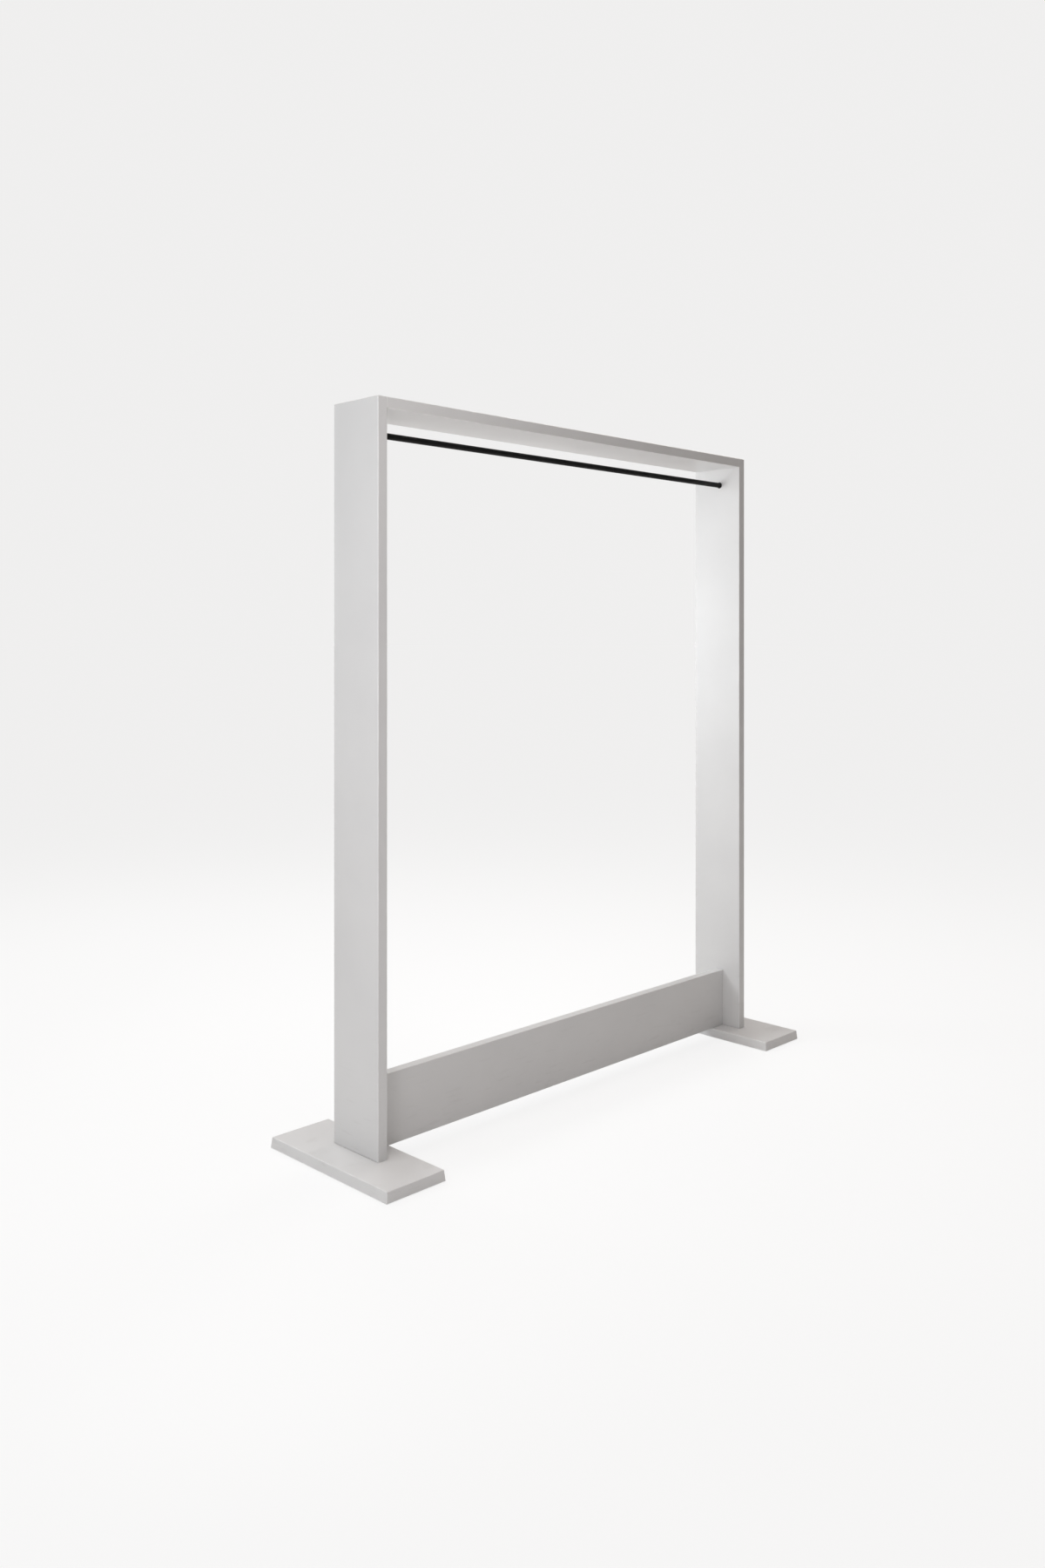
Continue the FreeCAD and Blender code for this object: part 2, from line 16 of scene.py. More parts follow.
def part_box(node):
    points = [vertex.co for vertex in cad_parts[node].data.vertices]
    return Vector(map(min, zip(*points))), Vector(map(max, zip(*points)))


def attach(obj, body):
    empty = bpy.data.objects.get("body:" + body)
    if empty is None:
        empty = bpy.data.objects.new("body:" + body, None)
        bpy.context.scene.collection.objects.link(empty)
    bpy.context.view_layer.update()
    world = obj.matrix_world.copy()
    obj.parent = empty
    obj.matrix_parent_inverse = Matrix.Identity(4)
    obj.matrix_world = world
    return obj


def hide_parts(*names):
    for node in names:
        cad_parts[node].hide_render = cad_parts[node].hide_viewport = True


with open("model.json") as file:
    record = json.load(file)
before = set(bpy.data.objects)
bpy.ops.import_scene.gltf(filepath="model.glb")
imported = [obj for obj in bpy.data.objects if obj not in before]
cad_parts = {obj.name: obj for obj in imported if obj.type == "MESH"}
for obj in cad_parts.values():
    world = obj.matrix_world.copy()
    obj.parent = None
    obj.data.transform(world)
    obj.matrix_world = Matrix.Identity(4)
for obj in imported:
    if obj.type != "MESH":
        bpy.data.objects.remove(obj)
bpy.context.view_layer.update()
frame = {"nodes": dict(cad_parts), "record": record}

MM = 0.001
LEFT, RIGHT, FRONT, DOWN, UP = (-1, 0, 0), (1, 0, 0), (0, -1, 0), (0, 0, -1), (0, 0, 1)
BODY_OF_NODE = {node: body for body, nodes in frame["record"]["behaviour"]["bodies"].items()
                for node in nodes}


def middle_of(node):
    """The middle of a node's box."""
    low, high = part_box(node)
    return (low + high) / 2


# --- Node trees -----------------------------------------------------------------------------------

def finish(name, **sockets):
    """A material, its node tree and its shader; sockets are uniform values on the shader."""
    material = bpy.data.materials.new(name)
    material.use_nodes = True
    shader = material.node_tree.nodes["Principled BSDF"]
    for socket, amount in sockets.items():
        shader.inputs[socket.replace("_", " ")].default_value = amount
    return material, material.node_tree, shader


def add(tree, kind, inputs=None, **settings):
    """A node of that kind; an input is a number, a colour or another node's output."""
    node = tree.nodes.new("ShaderNode" + kind)
    for name, setting in settings.items():
        setattr(node, name, setting)
    for name, source in (inputs or {}).items():
        if isinstance(source, bpy.types.NodeSocket):
            tree.links.new(source, node.inputs[name])
        else:
            node.inputs[name].default_value = source
    return node


def calc(tree, operation, first, second=0.0):
    return add(tree, "Math", {0: first, 1: second}, operation=operation).outputs[0]


def vector_calc(tree, operation, first, second=(0.0, 0.0, 0.0)):
    return add(tree, "VectorMath", {0: first, 1: second}, operation=operation).outputs[0]


def fade(tree, source, start, end, before=0.0, after=1.0):
    """A straight ramp from before to after as the source goes from start to end."""
    return add(tree, "MapRange", {"Value": source, "From Min": start, "From Max": end,
                                  "To Min": before, "To Max": after}).outputs[0]


def mixed(tree, share, first, second):
    """Two colours mixed by a share."""
    return add(tree, "Mix", {0: share, 6: first, 7: second}, data_type="RGBA").outputs[2]


def object_place(tree):
    return add(tree, "TexCoord").outputs["Object"]


def noise(tree, place, scale, detail=2.0, stretch=None):
    """Noise with that many cells to the metre; stretch scales the three axes first."""
    if stretch is not None:
        place = add(tree, "Mapping", {"Vector": place, "Scale": stretch}).outputs[0]
    return add(tree, "TexNoise", {"Vector": place, "Scale": scale, "Detail": detail}).outputs[0]


def bump(tree, shader, height, distance, strength=1.0):
    relief = add(tree, "Bump", {"Height": height, "Distance": distance, "Strength": strength})
    tree.links.new(relief.outputs[0], shader.inputs["Normal"])


def feed(tree, shader, **sources):
    """Link outputs to the shader's sockets."""
    for socket, source in sources.items():
        tree.links.new(source, shader.inputs[socket.replace("_", " ")])


def rgb(red, green, blue):
    return (red, green, blue, 1.0)


# --- Finishes -------------------------------------------------------------------------------------

LACQUER_LIGHT = rgb(0.765, 0.765, 0.763)
LACQUER_DEEP = rgb(0.735, 0.735, 0.735)
# The edge colour is a painted highlight along the arrises, partly rubbed wear.
LACQUER_EDGE_HIGHLIGHT = rgb(0.90, 0.90, 0.897)
SCUFF = rgb(0.50, 0.49, 0.475)
BOARD_CORE = rgb(0.36, 0.25, 0.155)
BOARD_CORE_DARK = rgb(0.25, 0.165, 0.10)
EDGE_BAND = 2.5 * MM         # how far the edge band reaches in from an edge; the band is rubbed and also painted lighter as a highlight
EDGE_HIGHLIGHT_SHARE = 0.85            # how much lighter the edge band is painted: a painted highlight, partly rubbed wear
CORE_DEPTH = 1.3 * MM        # deeper than this behind every face, a board shows its core
CORE_FADE = 0.3 * MM
CORE_ROUGHNESS = 0.9
LACQUER_ROUGHNESS = (0.38, 0.47)
EDGE_POLISH = 0.08           # how much smoother a rubbed edge is
SCUFF_HEIGHT = 0.32          # scuffs fade out at this height
SCUFF_SHARE = 0.14
PEEL_SHARE, GRAIN_SHARE, FIBRE_SHARE = 0.6, 0.12, 1.5
LACQUER_RELIEF = 0.12 * MM   # full height of the lacquer's bumps

# Patterns in the lacquer, in cells to the metre.
CLOUD_CELLS, HAZE_CELLS, STREAK_CELLS, EDGE_PATCH_CELLS = 3.5, 11, 14, 38
PEEL_CELLS, FIBRE_CELLS, GRAIN_CELLS = 320, 900, 1900


def face_depths(tree, place, low, high, lean):
    """How deep a point lies behind a board's faces: across X, across Y and across Z."""
    middle, half = (low + high) / 2, (high - low) / 2
    from_middle = vector_calc(tree, "ABSOLUTE", vector_calc(tree, "SUBTRACT", place, middle))
    depth = vector_calc(tree, "SUBTRACT", half, from_middle)
    if lean:
        height = calc(tree, "SUBTRACT", add(tree, "SeparateXYZ", {0: place}).outputs["Z"], low.z)
        drawn_in = calc(tree, "MULTIPLY", height, lean)
        inwards = add(tree, "CombineXYZ", {"X": drawn_in, "Y": drawn_in}).outputs[0]
        depth = vector_calc(tree, "SUBTRACT", depth, inwards)
    return add(tree, "SeparateXYZ", {0: depth}).outputs


def lacquer(name, low, high, lean=0.0):
    """Satin lacquer: orange peel, rubbed edges painted lighter as a highlight, faint scuffs low down, raw
    core in the bores.
    """
    material, tree, shader = finish(name, Specular_IOR_Level=0.45, Coat_Weight=0.12, Coat_Roughness=0.28)
    place = object_place(tree)
    across, along, upright = face_depths(tree, place, low, high, lean)
    nearer = calc(tree, "MINIMUM", across, along)
    farther = calc(tree, "MAXIMUM", across, along)
    second_depth = calc(tree, "MAXIMUM", nearer, calc(tree, "MINIMUM", farther, upright))
    least_depth = calc(tree, "MINIMUM", nearer, upright)

    # Where wear and painted light show: edges rubbed and painted lighter as a highlight, cut board inside
    # the bores, and scuffs near the floor.
    rubbed_and_highlit_patches = fade(tree, noise(tree, place, EDGE_PATCH_CELLS, 3), 0.38, 0.62, 0.35, 1.0)
    worn_and_highlit_edge = calc(tree, "MULTIPLY", fade(tree, second_depth, 0.0, EDGE_BAND, 1.0, 0.0), rubbed_and_highlit_patches)
    core = fade(tree, least_depth, CORE_DEPTH, CORE_DEPTH + CORE_FADE)
    streaks = fade(tree, noise(tree, place, STREAK_CELLS, 5, (1, 1, 6)), 0.60, 0.68)
    height = add(tree, "SeparateXYZ", {0: place}).outputs["Z"]
    low_down = fade(tree, height, 0.0, SCUFF_HEIGHT, 1.0, 0.0)
    scuff = calc(tree, "MULTIPLY", calc(tree, "MULTIPLY", streaks, low_down), SCUFF_SHARE)

    clouds = fade(tree, noise(tree, place, CLOUD_CELLS, 3), 0.35, 0.65)
    colour = mixed(tree, clouds, LACQUER_DEEP, LACQUER_LIGHT)
    # Painted highlight: the edge band is painted lighter, partly as rubbed wear.
    colour = mixed(tree, calc(tree, "MULTIPLY", worn_and_highlit_edge, EDGE_HIGHLIGHT_SHARE), colour, LACQUER_EDGE_HIGHLIGHT)
    colour = mixed(tree, scuff, colour, SCUFF)
    fibres = noise(tree, place, FIBRE_CELLS, 4)
    colour = mixed(tree, core, colour, mixed(tree, fibres, BOARD_CORE_DARK, BOARD_CORE))

    # Sheen: hazy patches, smoother on rubbed edges and dull where the board is cut.
    hazed = fade(tree, noise(tree, place, HAZE_CELLS, 4), 0.3, 0.7, *LACQUER_ROUGHNESS)
    polished = calc(tree, "SUBTRACT", hazed, calc(tree, "MULTIPLY", worn_and_highlit_edge, EDGE_POLISH))
    roughness = calc(tree, "MAXIMUM", polished, calc(tree, "MULTIPLY", core, CORE_ROUGHNESS))

    # Relief: orange peel, a fine grain and the torn fibres of cut board.
    peel = calc(tree, "MULTIPLY", noise(tree, place, PEEL_CELLS, 1), PEEL_SHARE)
    grain = calc(tree, "MULTIPLY", noise(tree, place, GRAIN_CELLS, 2), GRAIN_SHARE)
    ragged = calc(tree, "MULTIPLY", calc(tree, "MULTIPLY", fibres, core), FIBRE_SHARE)
    bump(tree, shader, calc(tree, "ADD", calc(tree, "ADD", peel, grain), ragged), LACQUER_RELIEF)
    feed(tree, shader, Base_Color=colour, Roughness=roughness)
    return material


COAT_DARK = rgb(0.003, 0.003, 0.0033)
COAT_LIGHT = rgb(0.007, 0.007, 0.0074)
COAT_RUBBED = rgb(0.02, 0.02, 0.021)
RUBBED_FROM, RUBBED_FULLY = 3 * MM, 7 * MM      # above the middle of the rod


def powder_coat(name, rod_level):
    """Fine-grained matt black powder coat, rubbed in rings along the top where hooks slide."""
    material, tree, shader = finish(name, Specular_IOR_Level=0.2)
    place = object_place(tree)
    rings = fade(tree, noise(tree, place, 1.0, 3, (150, 4, 4)), 0.56, 0.66)
    height = add(tree, "SeparateXYZ", {0: place}).outputs["Z"]
    on_top = fade(tree, height, rod_level + RUBBED_FROM, rod_level + RUBBED_FULLY)
    rubbed = calc(tree, "MULTIPLY", rings, on_top)
    grain = noise(tree, place, 2600, 3)
    colour = mixed(tree, grain, COAT_DARK, COAT_LIGHT)
    colour = mixed(tree, calc(tree, "MULTIPLY", rubbed, 0.5), colour, COAT_RUBBED)
    matt = fade(tree, noise(tree, place, 40, 3), 0.3, 0.7, 0.52, 0.62)
    roughness = calc(tree, "SUBTRACT", matt, calc(tree, "MULTIPLY", rubbed, 0.2))
    feed(tree, shader, Base_Color=colour, Roughness=roughness)
    bump(tree, shader, grain, 0.05 * MM)
    return material


def zinc(name):
    """Bright zinc on steel: cloudy plating with fine drawing lines."""
    material, tree, shader = finish(name, Metallic=1.0)
    place = object_place(tree)
    clouds = noise(tree, place, 160, 4)
    colour = mixed(tree, fade(tree, clouds, 0.35, 0.65), rgb(0.48, 0.48, 0.49), rgb(0.66, 0.66, 0.665))
    lines = noise(tree, place, 900, 2, (0.2, 1, 1))
    feed(tree, shader, Base_Color=colour, Roughness=fade(tree, lines, 0.3, 0.7, 0.26, 0.44))
    bump(tree, shader, lines, 0.02 * MM)
    return material


def beech(name, grain_axis):
    """Straight-grained beech with short dark flecks, running along one axis."""
    material, tree, shader = finish(name, Specular_IOR_Level=0.3)
    place = object_place(tree)
    along = [0.06 if part else 1.0 for part in grain_axis]
    flecked = [0.3 if part else 1.0 for part in grain_axis]
    growth = noise(tree, place, 700, 4, along)
    colour = mixed(tree, fade(tree, growth, 0.3, 0.7), rgb(0.46, 0.28, 0.15), rgb(0.66, 0.45, 0.27))
    flecks = fade(tree, noise(tree, place, 1500, 1, flecked), 0.64, 0.70)
    colour = mixed(tree, calc(tree, "MULTIPLY", flecks, 0.6), colour, rgb(0.27, 0.15, 0.08))
    feed(tree, shader, Base_Color=colour, Roughness=fade(tree, growth, 0.3, 0.7, 0.72, 0.58))
    bump(tree, shader, growth, 0.06 * MM)
    return material


def white_plastic(name):
    """Moulded white plastic with a fine spark-eroded grain."""
    material, tree, shader = finish(name, Specular_IOR_Level=0.5, Subsurface_Weight=0.08,
                                    Subsurface_Scale=0.002)
    place = object_place(tree)
    flow = noise(tree, place, 90, 3)
    colour = mixed(tree, fade(tree, flow, 0.35, 0.65), rgb(0.70, 0.70, 0.685), rgb(0.75, 0.75, 0.74))
    grain = noise(tree, place, 3200, 2)
    feed(tree, shader, Base_Color=colour, Roughness=fade(tree, grain, 0.3, 0.7, 0.36, 0.5))
    bump(tree, shader, grain, 0.03 * MM)
    return material


def glide_felt(name):
    """Pressed grey felt: mottled wool with a soft nap."""
    material, tree, shader = finish(name, Specular_IOR_Level=0.15, Sheen_Weight=0.35, Sheen_Roughness=0.5)
    place = object_place(tree)
    wool = noise(tree, place, 1400, 5)
    colour = mixed(tree, fade(tree, wool, 0.3, 0.7), rgb(0.055, 0.055, 0.058), rgb(0.17, 0.17, 0.175))
    feed(tree, shader, Base_Color=colour, Roughness=fade(tree, wool, 0.3, 0.7, 0.98, 0.88))
    bump(tree, shader, wool, 0.35 * MM)
    return material


# --- Turned pieces --------------------------------------------------------------------------------

SHARP = math.radians(32)
MERGE = 0.001 * MM           # points nearer than this become one
ON_AXIS = 0.01 * MM          # a point this near the axis has no radius to shape


def spun(outline, steps, closed=False, shaping=None):
    """Turn an outline of (along, radius) pairs in millimetres about X.

    An open outline starts and ends on the axis; a closed one is a ring's section.  Shaping gives a
    point its new radius from its place along the axis, its radius and its angle.
    """
    shape = bmesh.new()
    points = [shape.verts.new((along * MM, 0.0, radius * MM)) for along, radius in outline]
    pairs = list(zip(points, points[1:])) + ([(points[-1], points[0])] if closed else [])
    wires = [shape.edges.new(pair) for pair in pairs]
    bmesh.ops.spin(shape, geom=points + wires, cent=(0, 0, 0), axis=(1, 0, 0), angle=math.tau,
                   steps=steps, use_merge=True)
    bmesh.ops.remove_doubles(shape, verts=shape.verts, dist=MERGE)
    if shaping is not None:
        for vert in shape.verts:
            radius = math.hypot(vert.co.y, vert.co.z)
            if radius > ON_AXIS:
                angle = math.atan2(vert.co.z, vert.co.y)
                share = shaping(vert.co.x / MM, radius / MM, angle) * MM / radius
                vert.co.y *= share
                vert.co.z *= share
    bmesh.ops.recalc_face_normals(shape, faces=shape.faces)
    return shape


def evenly(start, end, step, radius):
    """Outline points along a stretch of one radius, about a step apart."""
    count = max(1, round((end - start) / step))
    return [(start + (end - start) * number / count, radius) for number in range(count + 1)]


def thread_dip(along, angle, pitch, depth):
    """How far a thread's flank dips below its crest."""
    turn = (along / pitch - angle / math.tau) % 1.0
    return depth * abs(2.0 * turn - 1.0)


def hexagon(corner_radius, angle):
    """Radius of a hexagon towards an angle."""
    sector = math.radians(60)
    return corner_radius * math.cos(sector / 2) / math.cos(angle % sector - sector / 2)


def aimed(point, direction):
    """The place of a piece that starts at a point and runs in a direction."""
    turn = Vector(RIGHT).rotation_difference(Vector(direction))
    return Matrix.Translation(point) @ turn.to_matrix().to_4x4()


def copies(master, places):
    """One shape that holds a copy of a master at each place."""
    template = bpy.data.meshes.new("template")
    master.to_mesh(template)
    master.free()
    shape = bmesh.new()
    for place in places:
        before = len(shape.verts)
        shape.from_mesh(template)
        shape.verts.ensure_lookup_table()
        bmesh.ops.transform(shape, matrix=place, verts=shape.verts[before:])
    bpy.data.meshes.remove(template)
    return shape


def piece(name, shape, node, material, softened=0.0):
    """Turn a shape into a finished piece that stands for a node and rides with its body."""
    mesh = bpy.data.meshes.new(name)
    shape.to_mesh(mesh)
    shape.free()
    mesh.materials.append(material)
    mesh.shade_smooth()
    mesh.set_sharp_from_angle(angle=SHARP)
    made = bpy.data.objects.new(name, mesh)
    bpy.context.scene.collection.objects.link(made)
    if softened:
        rounding = made.modifiers.new("softened", "BEVEL")
        rounding.limit_method = "ANGLE"
        rounding.angle_limit = SHARP
        rounding.width = softened
        rounding.segments = 3
        rounding.harden_normals = True
    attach(made, BODY_OF_NODE[node])
    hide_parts(node)
    return made


def ends(low, high, inset, count=2):
    """Evenly spaced places between two ends, the first and the last drawn in by an inset."""
    first, last = low + inset, high - inset
    return [first + (last - first) * number / (count - 1) for number in range(count)]


# --- The rod and its cups -------------------------------------------------------------------------

# Lengths and radii here and in the next two sections are in millimetres.
ROD_WALL, ROD_RIM = 2.0, 0.6
ROD_STEPS = 96
CUP_LENGTH, CUP_DEPTH, CUP_WALL, CUP_RIM = 16.0, 14.0, 2.0, 0.35
CUP_SCREW_HOLE, CUP_COUNTERSINK, COUNTERSINK_BREAK = 1.8, 3.5, 0.3
SCREW_LENGTH, SCREW_HEAD, SCREW_HEAD_HEIGHT = 12.0, 3.4, 2.0
SCREW_SHANK, SCREW_PITCH, SCREW_THREAD_START, SCREW_THREAD_DEPTH = 1.7, 1.2, 3.4, 0.5
SCREW_TAPER, SCREW_TAPER_STEP = 2 * SCREW_SHANK, 0.4
CROSS_DEPTH, CROSS_REACH, CROSS_WAIST = 1.6, 1.7, 0.42
FASTENER_STEPS = 48


def hanging_rod(material):
    """A seamless tube with rolled rims."""
    low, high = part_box("hanging_rod")
    length, radius = (high.x - low.x) / MM, (high.y - low.y) / 2 / MM
    section = [(0, radius - ROD_WALL), (0, radius), (length, radius), (length, radius - ROD_WALL)]
    start = middle_of("hanging_rod")
    start.x = low.x
    shape = copies(spun(section, ROD_STEPS, closed=True), [aimed(start, RIGHT)])
    piece("hanging_tube", shape, "hanging_rod", material, ROD_RIM * MM)


def rod_cup(side, outwards, material):
    """A cup with a softened mouth and a countersunk hole in its floor."""
    node = f"rod_socket_{side}"
    low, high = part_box(node)
    radius = (high.y - low.y) / 2 / MM
    section = [(0, radius - CUP_WALL), (0, radius), (CUP_LENGTH, radius), (CUP_LENGTH, CUP_SCREW_HOLE),
               (CUP_DEPTH + COUNTERSINK_BREAK, CUP_COUNTERSINK - COUNTERSINK_BREAK),
               (CUP_DEPTH, CUP_COUNTERSINK), (CUP_DEPTH, radius - CUP_WALL)]
    mouth = middle_of(node)
    mouth.x = high.x if outwards == LEFT else low.x
    shape = copies(spun(section, ROD_STEPS, closed=True), [aimed(mouth, outwards)])
    piece(f"rod_cup_{side}", shape, node, material, CUP_RIM * MM)


def cup_screws(material):
    """Countersunk wood screws with a cross recess and a coarse thread."""
    taper_start = SCREW_LENGTH - SCREW_TAPER

    def shaping(along, radius, angle):
        if along < CROSS_DEPTH + 0.01 and radius < CROSS_REACH + 0.05:
            return radius * (CROSS_WAIST + (1 - CROSS_WAIST) * math.cos(2 * angle) ** 4)
        if SCREW_THREAD_START < along < SCREW_LENGTH - 0.5:
            depth = SCREW_THREAD_DEPTH * radius / SCREW_SHANK
            return radius - thread_dip(along, angle, SCREW_PITCH, depth)
        return radius

    outline = [(CROSS_DEPTH, 0), (CROSS_DEPTH - 0.3, 0.9), (0, CROSS_REACH), (0, SCREW_HEAD - 0.1),
               (0.15, SCREW_HEAD), (SCREW_HEAD_HEIGHT, SCREW_SHANK)]
    outline += evenly(SCREW_THREAD_START, taper_start, SCREW_PITCH / 6, SCREW_SHANK)
    rises = [SCREW_TAPER_STEP * number for number in range(1, 8)]
    outline += [(taper_start + rise, SCREW_SHANK * (1 - rise / SCREW_TAPER)) for rise in rises]
    outline.append((SCREW_LENGTH, 0))
    middle = middle_of("rod_socket_screws")
    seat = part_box("rod_socket_screws")[1].x - SCREW_LENGTH * MM
    places = [aimed((-seat, middle.y, middle.z), LEFT), aimed((seat, middle.y, middle.z), RIGHT)]
    shape = copies(spun(outline, FASTENER_STEPS, shaping=shaping), places)
    piece("cup_screws", shape, "rod_socket_screws", material)


# --- Fittings of the header and the rail ----------------------------------------------------------

DOWEL_RADIUS, DOWEL_CHAMFER, DOWEL_IN_BOARD = 4.0, 1.0, 20.0
DOWEL_FLUTES, FLUTE_DEPTH, FLUTE_RUN_OUT = 16, 0.35, 1.0
BOLT_THREAD_RADIUS, BOLT_THREAD_LENGTH, BOLT_THREAD_PITCH, BOLT_THREAD_DEPTH = 3.0, 12.0, 2.4, 0.8
BOLT_NECK, BOLT_HEAD, BOLT_HEAD_START, BOLT_HEAD_END = 2.5, 3.5, 29.75, 32.75
COVER_RADIUS, COVER_THICKNESS, COVER_SKIN, COVER_LIP = 7.5, 2.0, 1.1, 0.9
DISC_STEPS = 72


def fluted_dowel(length):
    """A dowel with chamfered ends and pressed flutes that let the glue out."""
    def shaping(along, radius, angle):
        full = DOWEL_CHAMFER < along < length - DOWEL_CHAMFER
        return radius - FLUTE_DEPTH if full and math.cos(DOWEL_FLUTES * angle) < -0.5 else radius

    thin = DOWEL_RADIUS - DOWEL_CHAMFER
    fluted_from = DOWEL_CHAMFER + FLUTE_RUN_OUT
    outline = [(0, 0), (0, thin), (DOWEL_CHAMFER, DOWEL_RADIUS), (fluted_from, DOWEL_RADIUS),
               (length - fluted_from, DOWEL_RADIUS), (length - DOWEL_CHAMFER, DOWEL_RADIUS),
               (length, thin), (length, 0)]
    return spun(outline, 4 * DOWEL_FLUTES, shaping=shaping)


def cam_bolt():
    """Starts at the tip of its coarse thread; its head is the far end."""
    def shaping(along, radius, angle):
        if 0.9 < along < BOLT_THREAD_LENGTH - 0.6:
            return radius - thread_dip(along, angle, BOLT_THREAD_PITCH, BOLT_THREAD_DEPTH)
        return radius

    neck = BOLT_THREAD_LENGTH
    head_start, head_end = neck + BOLT_HEAD_START, neck + BOLT_HEAD_END
    outline = [(0, 0), (0, 2.0), (0.8, 2.9)]
    outline += evenly(1.0, neck - 0.5, BOLT_THREAD_PITCH / 6, BOLT_THREAD_RADIUS)
    outline += [(neck, BOLT_THREAD_RADIUS), (neck, BOLT_NECK), (head_start, BOLT_NECK),
                (head_start + 0.4, BOLT_HEAD), (head_end - 0.7, BOLT_HEAD),
                (head_end, BOLT_HEAD - 0.9), (head_end, 0)]
    return spun(outline, FASTENER_STEPS, shaping=shaping)


def cam_cover():
    """A press-in cover: a flat skin with a softened rim, a gate mark and a hollow underside."""
    rim = COVER_RADIUS - COVER_LIP
    outline = [(0.25, 0), (0.25, 0.9), (0, 1.15), (0, COVER_RADIUS - 0.45), (0.13, COVER_RADIUS - 0.13),
               (0.45, COVER_RADIUS), (COVER_THICKNESS, COVER_RADIUS - 0.05), (COVER_THICKNESS, rim),
               (COVER_SKIN, rim - 0.2), (COVER_SKIN, 0)]
    return spun(outline, DISC_STEPS)


def cross_board_fittings(name, board, width_axis, inwards, metal, wood, plastic):
    """The dowels, cam bolts and covers of a board whose width lies along an axis: 1 for Y, 2 for Z."""
    def spots(node, radius):
        """Places along the width at both ends of a node, each running towards the middle."""
        low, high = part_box(node)
        places = []
        for x, direction in ((low.x, RIGHT), (high.x, LEFT)):
            for across in ends(low[width_axis], high[width_axis], radius * MM):
                point = middle_of(node)
                point.x, point[width_axis] = x, across
                places.append(aimed(point, direction))
        return places

    dowels, bolts, covers = f"{name}_dowels", f"{name}_cam_bolts", f"{name}_cam_caps"
    dowel_in_upright = (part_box(board)[0].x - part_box(dowels)[0].x) / MM
    dowel = fluted_dowel(dowel_in_upright + DOWEL_IN_BOARD)
    piece(f"{name}_fluted_dowels", copies(dowel, spots(dowels, DOWEL_RADIUS)), dowels, wood)
    piece(f"{name}_draw_bolts", copies(cam_bolt(), spots(bolts, BOLT_HEAD)), bolts, metal)

    low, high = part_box(covers)
    places = []
    for x in ends(low.x, high.x, COVER_RADIUS * MM):
        for across in ends(low[width_axis], high[width_axis], COVER_RADIUS * MM):
            point = high.copy()
            point.x, point[width_axis] = x, across
            places.append(aimed(point, inwards))
    piece(f"{name}_cam_covers", copies(cam_cover(), places), covers, plastic)


# --- Fittings of the feet -------------------------------------------------------------------------

FOOT_BOLT_HEAD, FOOT_BOLT_HEAD_HEIGHT, FOOT_BOLT_RADIUS = 6.5, 8.0, 4.0
FOOT_BOLT_PITCH, FOOT_BOLT_THREAD_DEPTH = 1.25, 0.7
FOOT_BOLT_KEY, FOOT_BOLT_KEY_DEPTH = 3.4, 4.0
KNURLS, KNURL_DEPTH = 32, 0.08
WASHER_RADIUS, WASHER_HOLE, WASHER_THICKNESS, WASHER_BREAK = 8.0, 4.1, 1.6, 0.2
SLEEVE_RADIUS, SLEEVE_HOLE, SLEEVE_PITCH, SLEEVE_THREAD_DEPTH = 6.0, 4.1, 2.8, 0.8
PAD_RADIUS, PAD_THICKNESS, PAD_TAPE = 15.0, 2.0, 0.3
FOOT_FITTING_STEPS = 64
BOLTS_PER_FOOT = 3


def foot_bolt(length):
    """A socket-head bolt: a knurled head, a hexagon socket and a full thread."""
    def shaping(along, radius, angle):
        if along < FOOT_BOLT_KEY_DEPTH + 0.6 and radius < FOOT_BOLT_KEY + 0.3:
            return hexagon(radius, angle)
        if 1.0 < along < FOOT_BOLT_HEAD_HEIGHT - 0.5:
            return radius - KNURL_DEPTH * (1 + math.cos(KNURLS * angle))
        if FOOT_BOLT_HEAD_HEIGHT + 0.5 < along < length - 1.0:
            return radius - thread_dip(along, angle, FOOT_BOLT_PITCH, FOOT_BOLT_THREAD_DEPTH)
        return radius

    key, head, tall = FOOT_BOLT_KEY, FOOT_BOLT_HEAD, FOOT_BOLT_HEAD_HEIGHT
    outline = [(FOOT_BOLT_KEY_DEPTH + 0.5, 0), (FOOT_BOLT_KEY_DEPTH, key), (0.3, key), (0, key + 0.25),
               (0, head - 0.6), (0.6, head), (1.1, head), (tall - 0.6, head), (tall - 0.4, head),
               (tall, head - 0.25), (tall, FOOT_BOLT_RADIUS)]
    outline += evenly(tall + 0.4, length - 0.9, FOOT_BOLT_PITCH / 4, FOOT_BOLT_RADIUS)
    outline += [(length, FOOT_BOLT_RADIUS - 0.9), (length, 0)]
    return spun(outline, FOOT_FITTING_STEPS, shaping=shaping)


def washer():
    """A punched washer with rounded outer edges."""
    face = WASHER_RADIUS - 0.15
    section = [(0, WASHER_HOLE), (0, face), (WASHER_BREAK, WASHER_RADIUS),
               (WASHER_THICKNESS - WASHER_BREAK, WASHER_RADIUS), (WASHER_THICKNESS, face),
               (WASHER_THICKNESS, WASHER_HOLE)]
    return spun(section, FOOT_FITTING_STEPS, closed=True)


def threaded_sleeve(length):
    """A sleeve whose coarse outer thread bites into the board."""
    def shaping(along, radius, angle):
        if radius > SLEEVE_HOLE + 0.5 and 1.0 < along < length - 1.0:
            return radius - thread_dip(along, angle, SLEEVE_PITCH, SLEEVE_THREAD_DEPTH)
        return radius

    section = [(0, SLEEVE_HOLE), (0, SLEEVE_RADIUS - 0.2)]
    section += evenly(0.4, length - 0.4, SLEEVE_PITCH / 6, SLEEVE_RADIUS)
    section += [(length, SLEEVE_RADIUS - 0.2), (length, SLEEVE_HOLE)]
    return spun(section, FOOT_FITTING_STEPS, closed=True, shaping=shaping)


